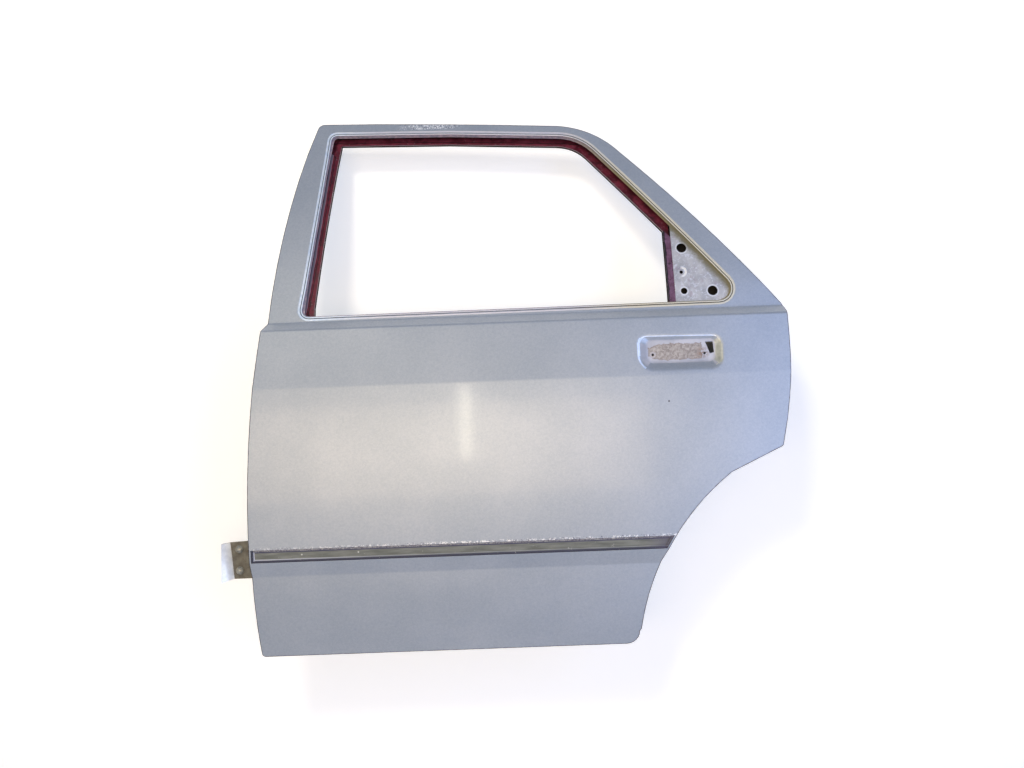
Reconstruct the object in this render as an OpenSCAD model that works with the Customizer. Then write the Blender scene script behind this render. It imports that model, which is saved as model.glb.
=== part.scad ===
// Left rear door of a compact four-door car: a bare pressed-steel shell on its lower hinge.
// X runs rearward along the door, Y runs inboard, and Z runs up.
// The origin is on the back of the pillar leaf, between its two bolts.
// Sub-parts are drawn in door coordinates and moved there at the end: X from the
// foremost point of the front edge, Y from the most outboard point of the skin,
// and Z from the sill.

/* [Door outline] */
// Length from the front edge to the rear edge at the waist
door_l = 1066; // [1000:1:1120]
// Height from the sill to the highest point of the window frame
door_h = 1098; // [1080:1:1110]
// Height of the foremost point of the front edge
front_mid_h = 200; // [150:5:250]
// Radius of the front edge below the belt line
front_low_r = 3000; // [2500:50:4000]
// Radius of the front edge along the window frame
front_high_r = 2450; // [2300:50:3000]
// Radius of the bend between the roof edge and the sloped rear edge
roof_bend_r = 190; // [120:5:220]
// Radius of the wheel arch
arch_r = 460; // [430:5:480]
// Distance of the wheel arch centre behind the front edge
arch_x = 1217; // [1200:1:1240]
// Height of the wheel arch centre, below the sill
arch_z = -29; // [-60:1:0]
// Length of the sill, from the front edge to the wheel arch
sill_l = 758; // [730:1:780]

/* [Side profile] */
// Height of the lower edge of the chamfer band
chamfer_low_h = 165; // [150:1:180]
// Height of the lower edge of the rub strip recess
rub_low_h = 195; // [188:1:200]
// Height of the upper edge of the rub strip recess
rub_high_h = 220; // [214:1:230]
// Height of the most outboard line of the side
waist_h = 370; // [340:5:400]
// Radius of the gently crowned middle of the side
waist_r = 3240; // [2600:20:4000]
// Height of the crease under the shoulder
crease_h = 531; // [520:1:540]
// Height of the lower edge of the belt shoulder
belt_low_h = 645; // [640:1:650]
// Height of the upper edge of the belt shoulder
belt_top_h = 660; // [657:1:664]
// How far the belt shoulder steps inboard
belt_step = 18; // [12:1:22]
// Lean of the window frame at the belt, in degrees
lean_low = 10; // [8:0.5:12]
// Radius of the window frame, seen along the car
frame_r = 1800; // [1700:20:2200]

/* [Sheet metal] */
// Thickness of the outer skin
skin_t = 1.2; // [0.8:0.1:1.6]
// Thickness of the inner pressings
inner_t = 1.2; // [0.8:0.1:1.6]
// Width of the outer skin's fold behind the edge
fold_w = 11; // [8:1:13]
// Width of the hem round the edge
hem_w = 16; // [12:1:20]
// Place of the flat inner face, inboard of the skin's most outboard line
inner_y = 100; // [92:1:110]
// Depth of the window frame box
frame_depth = 33; // [30:1:38]
// Depth of the step that the door seal lies on
seal_step = 7; // [5:0.5:8]
// Width of the step that the door seal lies on
seal_w = 14; // [12:1:16]

/* [Window] */
// Width of the stepped rebate round the window
rebate_w = 11; // [10:0.5:13]
// Width of the run channel's inner leg that shows inside the rebate
channel_w = 16; // [14:0.5:19]
// Width of the groove inside the rebate's outer edge
groove_w = 4; // [3:0.5:4.5]
// Depth of the groove
groove_d = 5; // [4:0.5:6]
// Width of the raised bead inside the groove
bead_w = 4; // [3:0.5:4.5]
// Depth of the bead's top below the skin
bead_d = 3; // [2:0.5:4]
// Depth of the rebate's lip, which holds the run channels
rebate_floor = 8; // [7:0.5:10]
// Front face of the division channel
division_x = 841; // [830:1:850]
// Width of the division channel
division_w = 14; // [12:1:18]

/* [Recesses] */
// Depth of the rub strip recess
rub_step = 3; // [2:0.5:4]
// Depth of the seat inside the rub strip recess
rub_floor = 5.5; // [4.5:0.5:7]
// Length of the handle recess
handle_l = 166; // [150:1:180]
// Height of the handle recess
handle_h = 69; // [60:1:76]
// Place of the handle recess's flat floor, inboard of the skin's most outboard line
handle_floor_y = 20; // [18:0.5:22]
// Distance between the two handle screws
handle_screw_pitch = 101.5; // [95:0.5:108]

/* [Hinge] */
// Diameter of the hinge pin
pin_d = 8; // [7:0.5:9]
// Radius of the rolled knuckles
knuckle_r = 9; // [8:0.5:10]
// Height of the hinge's middle above the sill
hinge_h = 188; // [180:1:196]
// Height of the hinge leaves
leaf_h = 76; // [70:1:80]
// Thickness of the hinge leaves
leaf_t = 5; // [4:0.5:5]
// Length of the pillar leaf, from the pin to its front tip
leaf_l = 75; // [70:1:80]
// Distance between the two pillar bolts
pillar_bolt_pitch = 43; // [40:1:46]
// Distance from the pin to the pillar bolts
pillar_bolt_x = 42; // [38:1:44]
// Height between the lower hinge and the place of the upper one
hinge_pitch = 380; // [340:5:400]

/* [Hidden] */

paint = [0.62, 0.67, 0.74];
burgundy = [0.36, 0.12, 0.18];
primer = [0.55, 0.57, 0.58];
zinc = [0.66, 0.66, 0.62];
bitumen = [0.15, 0.15, 0.16];

// Points of a round corner at b, between the lines from a and to c
function unit(v) = v / norm(v);
function round_corner(a, b, c, r, n) =
  let (
    u = unit(a - b), v = unit(c - b),
    half = acos(u * v) / 2,
    centre = b + unit(u + v) * r / sin(half),
    start = b + u * r / tan(half) - centre,
    end = b + v * r / tan(half) - centre,
    turn = 180 - 2 * half,
    side = sign(start[0] * end[1] - start[1] * end[0])
  )
  [for (i = [0:n]) let (t = side * turn * i / n)
    centre + [start[0] * cos(t) - start[1] * sin(t), start[0] * sin(t) + start[1] * cos(t)]];
// Points of a shallow arc between p and q that bulges by s to the left of the way from p to q
function bow(p, q, s, n) =
  let (m = (p + q) / 2, d = (q - p) / 2, left = [-d[1], d[0]] / norm(d))
  [for (i = [1:n - 1]) let (k = 2 * i / n - 1) m + d * k + left * s * (1 - k * k)];
// A bent sheet of thickness t, seen on edge, to the right of the way along its points
function right_of(p, q) = let (d = unit(q - p)) [d[1], -d[0]];
function bent_edge(path, t) = [
  for (i = [0:len(path) - 1])
    let (
      before = right_of(path[max(i - 1, 0)], path[max(i, 1)]),
      after = right_of(path[min(i, len(path) - 2)], path[min(i + 1, len(path) - 1)])
    )
    path[i] + (before + after) * t / (1 + before * after)
];
module bent_sheet(path, t) {
  far = bent_edge(path, t);
  polygon(concat(path, [for (i = [len(path) - 1:-1:0]) far[i]]));
}

// Side profile: how far the skin lies inboard at a height above the sill
side_lean = 8;
chamfer_lean = 25;
crease_d = pow(crease_h - waist_h, 2) / (2 * waist_r);
rub_d = pow(rub_low_h - waist_h, 2) / (2 * waist_r);
belt_low_d = crease_d + (belt_low_h - crease_h) * tan(side_lean);
belt_top_d = belt_low_d + belt_step;
chamfer_d = rub_d + (rub_low_h - chamfer_low_h) * tan(chamfer_lean);
function tuck_d(h) = chamfer_d + (chamfer_low_h - h) * 0.07 + pow(chamfer_low_h - h, 2) * 0.00046;
function waist_d(h) = pow(h - waist_h, 2) / (2 * waist_r);
function shoulder_d(h) = crease_d + (h - crease_h) * tan(side_lean);
function frame_d(a) = belt_top_d + frame_r * (cos(lean_low) - cos(a));
function frame_h(a) = belt_top_h + frame_r * (sin(a) - sin(lean_low));
function lean_at(h) = asin(sin(lean_low) + (h - belt_top_h) / frame_r);
function frame_skin_d(h) = frame_d(lean_at(h));
function tuck_point(h) = [tuck_d(h), h];
function waist_point(h) = [waist_d(h), h];
function frame_point(a) = [frame_d(a), frame_h(a)];

chamfer_point = [chamfer_d, chamfer_low_h];
rub_point = [rub_d, rub_low_h];
crease_point = [crease_d, crease_h];
belt_low_point = [belt_low_d, belt_low_h];
belt_top_point = [belt_top_d, belt_top_h];
past_edge = 6;
skin_line = concat(
  [tuck_point(-past_edge)],
  [for (i = [1:4]) tuck_point(chamfer_low_h * i / 5)],
  round_corner(tuck_point(chamfer_low_h - 30), chamfer_point, rub_point, 14, 2),
  [rub_point, waist_point(rub_high_h)],
  [for (i = [1:5]) waist_point(rub_high_h + (crease_h - rub_high_h) * i / 6)],
  round_corner(waist_point(crease_h - 40), crease_point, belt_low_point, 60, 2),
  round_corner(crease_point, belt_low_point, belt_top_point, 9, 3),
  round_corner(belt_low_point, belt_top_point, frame_point(lean_low + 2), 7, 3),
  [for (i = [1:8]) frame_point(lean_low + (lean_at(door_h + past_edge) - lean_low) * i / 8)]
);

// Outline, seen from outside
front_low_x = front_low_r - sqrt(pow(front_low_r, 2) - pow(belt_low_h - front_mid_h, 2));
front_top_x = 43;
front_high_a = atan(0.1);
function front_x(h) =
  h <= belt_low_h ? front_low_r - sqrt(pow(front_low_r, 2) - pow(h - front_mid_h, 2)) :
  h < belt_top_h ? front_low_x + (front_top_x - front_low_x) * (h - belt_low_h) / (belt_top_h - belt_low_h) :
  front_top_x + front_high_r * cos(front_high_a)
    - sqrt(pow(front_high_r, 2) - pow(h - belt_top_h + front_high_r * sin(front_high_a), 2));
function roof_h(x) = door_h - (x - 150) * 0.03 - pow(x - 150, 2) / 24000;
rear_mid_h = 600;
rear_r = 950;
function rear_x(h) = door_l - pow(max(rear_mid_h - h, 0), 2) / (2 * rear_r);

roof_corner = [713, 1065];
slope_foot = [door_l, 660];
arch_top = [942, arch_z + sqrt(pow(arch_r, 2) - pow(arch_x - 942, 2))];
arch_tip = [rear_x(386), 386];
arch_line = [
  for (a = [0:5]) let (t = 127 + (172.5 - 127) * a / 5)
    [arch_x + arch_r * cos(t), arch_z + arch_r * sin(t)]
];
door_outline = concat(
  round_corner([300, 0], [front_x(0), 0], [front_x(200), 200], 8, 3),
  [for (h = [80:95:640]) [front_x(h), h]],
  [[front_low_x, belt_low_h], [front_top_x, belt_top_h]],
  [for (h = [740:80:1060]) [front_x(h), h]],
  round_corner([front_x(1060), 1060], [front_x(door_h) + 1, door_h], [300, roof_h(300)], 14, 4),
  [for (x = [250:130:510]) [x, roof_h(x)]],
  round_corner([640, roof_h(640)], roof_corner, slope_foot, roof_bend_r, 8),
  bow([780, 989], slope_foot, 5, 5),
  round_corner([900, 848], slope_foot, [door_l, 500], 34, 4),
  [for (h = [600:-52:400]) [rear_x(h), h]],
  round_corner([rear_x(440), 440], arch_tip, arch_top, 8, 3),
  arch_line,
  round_corner([arch_x - arch_r, 60], [sill_l, 0], [300, 0], 26, 5)
);

// Outer edge of the window rebate, seen from outside
rebate_front_low = [99, 663];
rebate_front_top = [150, 1077];
rebate_roof_corner = [686, 1054];
rebate_rear = [1012, 667];
rebate_roof_mid = [408, 1070.5];
rebate_sill_mid = [500, 665];
rebate_outline = concat(
  round_corner(rebate_sill_mid, rebate_front_low, rebate_front_top, 22, 4),
  bow(rebate_front_low, rebate_front_top, -4, 4),
  round_corner(rebate_front_low, rebate_front_top, rebate_roof_mid, 20, 4),
  [rebate_roof_mid],
  round_corner(rebate_roof_mid, rebate_roof_corner, rebate_rear, 110, 6),
  round_corner(rebate_roof_corner, rebate_rear, rebate_sill_mid, 34, 6)
);
opening_low_h = 670;
opening_inset = rebate_w + channel_w;

// Basic moves: a side profile swept along the door, and an outline pushed through it
far_in = 300;
module along(x0, x1) {
  translate([x0, 0, 0]) rotate([90, 0, 90]) linear_extrude(x1 - x0) children();
}
module across(y0, y1) {
  translate([0, y1, 0]) rotate([90, 0, 0]) linear_extrude(y1 - y0) children();
}
module drill(x, y, z, d, l, turn = [90, 0, 0]) {
  translate([x, y, z]) rotate(turn) cylinder(h = l, d = d, center = true, $fn = 48);
}
along_x = [0, 90, 0];
// Profile of a layer that follows a line from depth a to depth b behind it
module layer_profile(line, a, b) {
  polygon(concat(
    [for (p = line) [p[0] + a, p[1]]],
    [for (i = [len(line) - 1:-1:0]) [line[i][0] + b, line[i][1]]]
  ));
}
// Layer behind the skin, cut to an outline
module layer(a, b, line = skin_line) {
  intersection() {
    along(-20, door_l + 20) layer_profile(line, a, b);
    across(-20, far_in) children();
  }
}
module outline_2d() {
  polygon(door_outline);
}
module rebate_2d() {
  polygon(rebate_outline);
}
// The same shape let down through the glass slot, so that it has no lower side
module opening_2d(inset) {
  hull() for (drop = [0, opening_inset - 6]) translate([0, -drop]) offset(delta = -inset) rebate_2d();
}
module ring_2d(outer, inner) {
  difference() {
    offset(delta = -outer) children();
    offset(delta = -inner) children();
  }
}
// Sheet in steps round an outline, along points that give its depth and its inset
module stepped(path, t) {
  for (i = [0:len(path) - 2]) {
    p = path[i];
    q = path[i + 1];
    layer(min(p[0], q[0]), max(p[0], q[0]) + t) ring_2d(min(p[1], q[1]), max(p[1], q[1]) + t) children();
  }
}
module below(h) {
  intersection() {
    children();
    translate([-100, -100]) square([door_l + 200, h + 100]);
  }
}
module above(h) {
  intersection() {
    children();
    translate([-100, h]) square([door_l + 200, door_h]);
  }
}
// A straight bar with round ends
module slot_2d(p, q, w) {
  turn = atan2(q[1] - p[1], q[0] - p[0]);
  polygon([for (i = [0:25]) let (a = turn + (i < 13 ? 90 : 75) + i * 15, c = i < 13 ? p : q)
    c + [cos(a), sin(a)] * w / 2]);
}

// Recesses of the outer skin
module rub_recess_2d() {
  polygon([[7, rub_low_h], [7, rub_high_h], [825, rub_high_h], [811, rub_low_h]]);
}
module rub_seat_2d() {
  polygon([[13, rub_low_h + 4], [13, rub_high_h - 4], [805, rub_high_h - 4], [797, rub_low_h + 4]]);
}
handle_x = 768;
handle_z = 541;
handle_screw_z = 570.7;
handle_mid_x = 849.8;
module handle_rim_2d() {
  offset(r = 10, $fn = 32) offset(delta = -10) polygon([
    [handle_x + 10, handle_z], [handle_x + handle_l - 4, handle_z - 1],
    [handle_x + handle_l, handle_z + 12], [handle_x + handle_l, handle_z + handle_h - 3],
    [handle_x, handle_z + handle_h], [handle_x, handle_z + 30]
  ]);
}
module handle_floor_2d() {
  offset(r = 8, $fn = 32) offset(delta = -8) translate([handle_x + 20, handle_z + 15])
    square([handle_l - 33, handle_h - 27]);
}
module handle_dish(grow) {
  hull() {
    layer(grow - 1, grow) offset(delta = grow) handle_rim_2d();
    across(handle_floor_y - 0.01, handle_floor_y + grow) offset(delta = grow) handle_floor_2d();
  }
}
handle_slot = [[902, 593], [917, 593], [919, 572], [911, 570]];
module handle_screw_holes() {
  for (s = [-1, 1]) drill(handle_mid_x + s * handle_screw_pitch / 2, handle_floor_y, handle_screw_z, 5, 20);
}

// Outer skin: one pressing, folded round the edges of the inner pressings
module outer_skin() {
  fold_depth = skin_t + inner_t;
  bead_end = groove_w + bead_w;
  color(paint) difference() {
    union() {
      layer(0, skin_t) difference() {
        outline_2d();
        rub_recess_2d();
        rebate_2d();
      }
      layer(0, fold_depth + skin_t) difference() {
        ring_2d(0, skin_t) outline_2d();
        rub_recess_2d();
      }
      layer(fold_depth, fold_depth + skin_t) difference() {
        ring_2d(0, fold_w) outline_2d();
        offset(delta = skin_t) rub_recess_2d();
      }
      stepped([
        [0, 0], [groove_d, 0], [groove_d, groove_w], [bead_d, groove_w],
        [bead_d, bead_end], [rebate_floor, bead_end], [rebate_floor, rebate_w - skin_t]
      ], skin_t) rebate_2d();
      layer(0, rub_step + skin_t) ring_2d(0, skin_t) rub_recess_2d();
      layer(rub_step, rub_step + skin_t) difference() {
        rub_recess_2d();
        rub_seat_2d();
      }
      layer(rub_step, rub_floor + skin_t) ring_2d(0, skin_t) rub_seat_2d();
      layer(rub_floor, rub_floor + skin_t) rub_seat_2d();
      handle_dish(skin_t);
    }
    handle_dish(0);
    handle_screw_holes();
    across(0, 50) polygon(handle_slot);
  }
}

// Inner pressing below the belt line: hem flange, shut faces, seal step and inner face
slope_low_h = 560;
inner_line = [[inner_y, -past_edge], [inner_y, slope_low_h], [belt_top_d + frame_depth, belt_top_h]];
module tray(inset, front, back, open = 0) {
  intersection() {
    along(-20, door_l + 20) translate([0, open]) polygon(concat(
      [for (p = skin_line) if (p[1] <= belt_top_h) [p[0] + front, p[1]]],
      [for (i = [2:-1:0]) [inner_line[i][0] - back, inner_line[i][1]]]
    ));
    across(-20, far_in) offset(delta = -inset) below(belt_top_h + 60) outline_2d();
  }
}
module access_holes_2d() {
  offset(r = 30, $fn = 32) offset(delta = -30) {
    polygon([[150, 150], [130, 480], [430, 480], [470, 150]]);
    polygon([[560, 160], [540, 430], [760, 430], [690, 160]]);
    polygon([[890, 400], [890, 505], [1000, 505], [985, 420]]);
  }
}
// Stiffening beads pressed into the inner face
bead_press_d = 4;
winder = [505, 440];
winder_r = 34;
module pressed_marks_2d(grow = 0) {
  slot_2d([120, 92], [690, 92], 24 + 2 * grow);
  slot_2d([505, 170], [505, 300], 24 + 2 * grow);
  slot_2d([150, 525], [590, 525], 20 + 2 * grow);
  slot_2d([730, 518], [980, 526], 20 + 2 * grow);
  slot_2d([795, 320], [815, 470], 22 + 2 * grow);
  translate(winder) circle(r = winder_r + grow, $fn = 48);
}
module pull_handle_hole_2d() {
  offset(r = 8, $fn = 24) offset(delta = -8) translate([630, 462]) square([66, 38]);
}
clip_holes = [[48, 120], [50, 310], [58, 490], [190, 48], [440, 48], [690, 48], [985, 560], [880, 350]];
latch_h = 500;
module latch_cut_2d() {
  hull() for (p = [[38, latch_h - 12], [38, latch_h + 12], [56, latch_h - 12], [56, latch_h + 12]])
    translate(p) circle(d = 12, $fn = 24);
}
latch_screws = [[74, latch_h], [50, latch_h + 34], [50, latch_h - 34]];
module latch_holes() {
  along(980, 1100) latch_cut_2d();
  for (p = latch_screws) drill(1040, p[0], p[1], 6.4, 60, along_x);
}
strap_h = 405;
module strap_hole() {
  translate([0, 60, strap_h - 17]) cube([40, 14, 34]);
}
module hinge_bolt_holes(h, y) {
  for (s = [-1, 1]) drill(front_x(h) + hem_w, y, h + s * leaf_bolt_pitch / 2, 8.4, 30, along_x);
}
module inner_panel() {
  step_in = hem_w + seal_w;
  color(primer) difference() {
    union() {
      layer(skin_t, skin_t + inner_t) below(belt_top_h) ring_2d(skin_t, hem_w - inner_t / 2) outline_2d();
      difference() {
        union() {
          tray(hem_w - inner_t, skin_t, seal_step);
          tray(step_in - inner_t, skin_t, 0);
        }
        tray(hem_w, -20, seal_step + inner_t, open = 1);
        tray(step_in, -20, inner_t, open = 1);
        across(inner_y - inner_t - 0.5, inner_y + 1) pressed_marks_2d();
      }
      across(inner_y - 6, inner_y) ring_2d(-inner_t, 0) access_holes_2d();
      across(inner_y - bead_press_d - inner_t, inner_y - bead_press_d) pressed_marks_2d(inner_t);
      across(inner_y - bead_press_d - inner_t, inner_y) difference() {
        pressed_marks_2d(inner_t);
        pressed_marks_2d();
      }
    }
    across(inner_y - 10, inner_y + 10) {
      access_holes_2d();
      pull_handle_hole_2d();
    }
    layer(-20, rub_floor + skin_t) offset(delta = skin_t) rub_recess_2d();
    drill(winder[0], inner_y, winder[1], 24, 40);
    for (p = clip_holes) drill(p[0], inner_y, p[1], 8, 30);
    for (x = [130, 410, 690]) translate([x, 60, 10]) cube([30, 8, 12]);
    hinge_bolt_holes(hinge_h, leaf_bolt_y);
    hinge_bolt_holes(hinge_h + hinge_pitch, upper_bolt_y);
    strap_hole();
    latch_holes();
  }
}

// Inner pressing of the window frame, with the same seal step, closed behind the corner panel
module window_frame_inner() {
  step_in = hem_w + seal_w;
  step_d = frame_depth - seal_step - inner_t;
  face_d = frame_depth - inner_t;
  color(primer) {
    intersection() {
      stepped([
        [skin_t, skin_t], [skin_t, hem_w - inner_t], [step_d, hem_w - inner_t],
        [step_d, step_in - inner_t], [face_d, step_in - inner_t]
      ], inner_t) outline_2d();
      translate([-100, -20, belt_top_h]) cube([door_l + 200, far_in, door_h]);
    }
    layer(face_d, frame_depth) above(belt_top_h) difference() {
      offset(delta = -step_in) outline_2d();
      difference() {
        opening_2d(opening_inset);
        translate([division_x + division_w, 0]) square([300, door_h]);
      }
    }
  }
}

// Run channels of the glass: a bent section that lies behind the rebate's lip
channel_t = 1.2;
channel_front = rebate_floor + skin_t;
channel_back = 24.4;
channel_inset = 5;
module channel_part(a, b, outer, inner) {
  layer(a, b) difference() {
    if (outer > channel_inset) opening_2d(outer);
    else offset(delta = -outer) rebate_2d();
    opening_2d(inner);
  }
}
module channel_section() {
  channel_part(channel_front, channel_front + channel_t, channel_inset, rebate_w + 1);
  channel_part(channel_front, channel_back, channel_inset, channel_inset + channel_t);
  channel_part(channel_back - channel_t, channel_back, channel_inset, opening_inset);
  channel_part(channel_back - 5, channel_back, opening_inset - channel_t, opening_inset);
}
module channel_cut(points) {
  color(burgundy) intersection() {
    channel_section();
    across(-20, far_in) polygon(points);
  }
}
module front_run_channel() {
  channel_cut([[60, opening_low_h], [200, opening_low_h], [200, 1000], [60, 1095]]);
}
module header_run_channel() {
  channel_cut([[60, 1095.5], [200, 1000.5], [600, 960], [780, 1120], [60, 1120]]);
}
module rear_run_channel() {
  end_x = division_x + division_w;
  channel_cut([[600.5, 960], [780, 780], [end_x, 780], [end_x, 1040], [780.5, 1120]]);
}

// Division channel at the rear edge of the glass, with the flared foot of its outer leg
foot_h = 694;
division_top_h = 826;
// The sloped edge's fall along the door, and how far a line beside it is measured straight down
slope_fall = (rebate_roof_corner[1] - rebate_rear[1]) / (rebate_rear[0] - rebate_roof_corner[0]);
slope_far = norm([1, slope_fall]);
module division_outline_2d(front, rear) {
  polygon([
    [division_x - front, opening_low_h], [division_x - front, division_top_h + front * slope_fall],
    [rear, rebate_roof_corner[1] - slope_fall * (rear - rebate_roof_corner[0]) - opening_inset * slope_far],
    [rear, opening_low_h]
  ]);
}
module division_channel() {
  rear = division_x + division_w;
  leg_d = channel_front + channel_t;
  color(burgundy) {
    difference() {
      layer(leg_d, channel_back) division_outline_2d(0, rear);
      layer(leg_d + channel_t, channel_back - channel_t) division_outline_2d(10, rear - channel_t);
    }
    layer(leg_d, leg_d + channel_t) polygon([
      [rear - 0.5, foot_h + 20], [rear + 3, foot_h], [division_x + 2, foot_h - 21], [division_x, foot_h]
    ]);
  }
}

// Panel that closes the corner behind the division channel
corner_t = 1.2;
corner_d = rebate_floor + skin_t;
corner_holes = [[875, 787, 20], [930, 696.5, 20], [873, 697.6, 13]];
dimple = [871, 737.3];
dimple_r = 10;
dimple_step = 2.5;
module drill_square(x, h, d) {
  translate([x, frame_skin_d(h) + corner_d, h]) rotate([90 - lean_at(h), 0, 0])
    cylinder(h = 40, d = d, center = true, $fn = 48);
}
module corner_panel() {
  front = division_x + division_w;
  color(paint) difference() {
    union() {
      layer(corner_d, corner_d + corner_t) difference() {
        intersection() {
          offset(delta = -channel_inset) rebate_2d();
          polygon([[front, 600], [front, 860], [1100, 700], [1100, 600]]);
        }
        translate(dimple) circle(r = dimple_r, $fn = 32);
      }
      layer(corner_d, corner_d + 12) polygon([
        [front, foot_h + 22], [front, 806], [front + corner_t, 804], [front + corner_t, foot_h + 22]
      ]);
      layer(corner_d, corner_d + dimple_step + corner_t) translate(dimple) difference() {
        circle(r = dimple_r + corner_t, $fn = 32);
        circle(r = dimple_r, $fn = 32);
      }
      layer(corner_d + dimple_step, corner_d + dimple_step + corner_t) translate(dimple) circle(r = dimple_r, $fn = 32);
    }
    for (p = corner_holes) drill_square(p[0], p[1], p[2]);
    drill_square(dimple[0], dimple[1], 7);
  }
}

// Waist rails on each side of the glass slot
rail_t = 1.2;
rail_x = [78, 1020];
module belt_rail_outer() {
  lip_d = rebate_floor + skin_t;
  color(primer) along(rail_x[0], rail_x[1]) bent_sheet([
    [shoulder_d(615) + skin_t + 0.1, 615], [shoulder_d(628) + skin_t + 0.1, 628],
    [belt_top_d + lip_d - 1, belt_top_h - 8],
    [frame_skin_d(belt_top_h + 4) + lip_d, belt_top_h + 4], [frame_skin_d(669.5) + lip_d, 669.5]
  ], rail_t);
}
module belt_rail_inner() {
  face = inner_y - inner_t;
  slope = (inner_y - belt_top_d - frame_depth) / (belt_top_h - slope_low_h);
  function on_slope(h) = [face - (h - slope_low_h) * slope, h];
  color(primer) along(rail_x[0], rail_x[1]) bent_sheet([
    [face, 541], [face, 553], [70, 592], [66, 634], on_slope(644), on_slope(658)
  ], -rail_t);
}

// Guides that carry the run channels down into the door, on the glass's own curve
guide_front_d = 11;
guide_w = 14;
module glass_layer(a, b, low) {
  glass_line = [for (i = [0:8]) frame_point(lean_at(low) + (lean_at(opening_low_h) - lean_at(low)) * i / 8)];
  layer(a, b, glass_line) children();
}
module guide_section(web_x, open_x, low) {
  for (d = [guide_front_d, channel_back - channel_t])
    glass_layer(d, d + channel_t, low) translate([min(web_x, open_x), low]) square([guide_w, 500]);
  glass_layer(guide_front_d, channel_back, low) translate([web_x, low]) square([channel_t, 500]);
}
// Bracket from a guide to the inner face, seen from above
module guide_bracket(web_x, z0, z1) {
  face = inner_y - inner_t;
  translate([0, 0, z0]) linear_extrude(z1 - z0) bent_sheet([[web_x, 35], [web_x, face], [web_x + 18, face]], channel_t);
}
module front_glass_guide() {
  web_x = 105;
  color(primer) {
    guide_section(web_x, web_x, 300);
    guide_bracket(web_x, 302, 330);
  }
}
module rear_glass_guide() {
  web_x = division_x + division_w - channel_t;
  color(primer) {
    guide_section(web_x, division_x, 340);
    guide_bracket(web_x, 345, 372);
  }
}

// Reinforcements on the inside of the shut faces
module front_band(y0, y1, z, h, t) {
  across(y0, y1) intersection() {
    ring_2d(hem_w, hem_w + t) outline_2d();
    translate([-50, z - h / 2]) square([200, h]);
  }
}
module hinge_plate(h, y, y0, y1) {
  nut_h = 7;
  color(zinc) difference() {
    union() {
      front_band(y0, y1, h, 100, 3);
      for (z = [h - leaf_bolt_pitch / 2, h + leaf_bolt_pitch / 2])
        translate([front_x(z) + hem_w + 2, y, z]) rotate(along_x) cylinder(h = nut_h, d = 14.5, $fn = 6);
    }
    hinge_bolt_holes(h, y);
  }
}
module hinge_plate_upper() {
  hinge_plate(hinge_h + hinge_pitch, upper_bolt_y, 48, 74);
}
module hinge_plate_lower() {
  hinge_plate(hinge_h, leaf_bolt_y, 60, 91);
}
module check_strap_plate() {
  color(zinc) difference() {
    front_band(50, 86, strap_h, 70, 2);
    strap_hole();
  }
}
module latch_plate() {
  color(zinc) difference() {
    across(25, 88) intersection() {
      ring_2d(hem_w, hem_w + 2) outline_2d();
      translate([900, latch_h - 50]) square([200, 100]);
    }
    latch_holes();
  }
}
module handle_plate() {
  back = handle_floor_y + skin_t;
  color(zinc) difference() {
    across(back, back + 1.5) difference() {
      translate([791, 559]) square([126, 36]);
      offset(delta = 1.5) polygon(handle_slot);
    }
    handle_screw_holes();
  }
}
// Pressed bracket that the armrest is screwed to
module armrest_bracket() {
  h = 60;
  color(zinc) difference() {
    translate([505, inner_y, 330]) linear_extrude(h)
      bent_sheet([[-34, 0], [-20, 0], [-16, 12], [16, 12], [20, 0], [34, 0]], -1.5);
    for (s = [-1, 1]) drill(505, inner_y + 12, 330 + h / 2 + s * 18, 5, 10);
  }
}
module damping_pad() {
  color(bitumen) layer(skin_t, skin_t + 3) translate([250, 300]) square([420, 180]);
}

// Hinge
pin_y = 70;
leaf_face_y = pin_y + knuckle_r - leaf_t;
leaf_bolt_y = 84;
upper_bolt_y = 62;
leaf_bolt_pitch = 44;
leaf_back_x = hem_w - inner_t;
pin_clear = 0.05;
knuckle_l = leaf_h / 2;
knuckle_gap = 0.5;
module knuckle(h0, h1) {
  translate([0, pin_y, h0]) cylinder(h = h1 - h0, r = knuckle_r, $fn = 64);
}
module pin_bore() {
  translate([0, pin_y, hinge_h - leaf_h]) cylinder(h = 2 * leaf_h, d = pin_d + 2 * pin_clear, $fn = 64);
}
// Domed bolt head that stands out along +Z
module domed_head(d, h) {
  r = (pow(d / 2, 2) + h * h) / (2 * h);
  intersection() {
    cylinder(h = h, d = d, $fn = 48);
    translate([0, 0, h - r]) sphere(r = r, $fn = 64);
  }
}
module door_leaf() {
  color(zinc) difference() {
    union() {
      for (s = [-1, 1]) {
        low = hinge_h + (s < 0 ? -leaf_h / 2 : knuckle_l / 2 + knuckle_gap);
        high = hinge_h + (s < 0 ? -knuckle_l / 2 - knuckle_gap : leaf_h / 2);
        knuckle(low, high);
        translate([0, pin_y - knuckle_r, low]) cube([leaf_back_x, leaf_t, high - low]);
      }
      translate([leaf_back_x - leaf_t, pin_y - knuckle_r, hinge_h - leaf_h / 2])
        cube([leaf_t, inner_y - seal_step - pin_y + knuckle_r, leaf_h]);
    }
    pin_bore();
    hinge_bolt_holes(hinge_h, leaf_bolt_y);
  }
}
module door_leaf_bolts() {
  head_h = 5.3;
  color(zinc) for (s = [-1, 1])
    translate([leaf_back_x - leaf_t, leaf_bolt_y, hinge_h + s * leaf_bolt_pitch / 2]) rotate(along_x) {
      cylinder(h = 20, d = 8, $fn = 32);
      translate([0, 0, -head_h]) cylinder(h = head_h, d = 13, $fn = 6);
    }
}
fold_top_x = -60;
fold_low_x = -54;
pillar_neck_d = 10;
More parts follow.
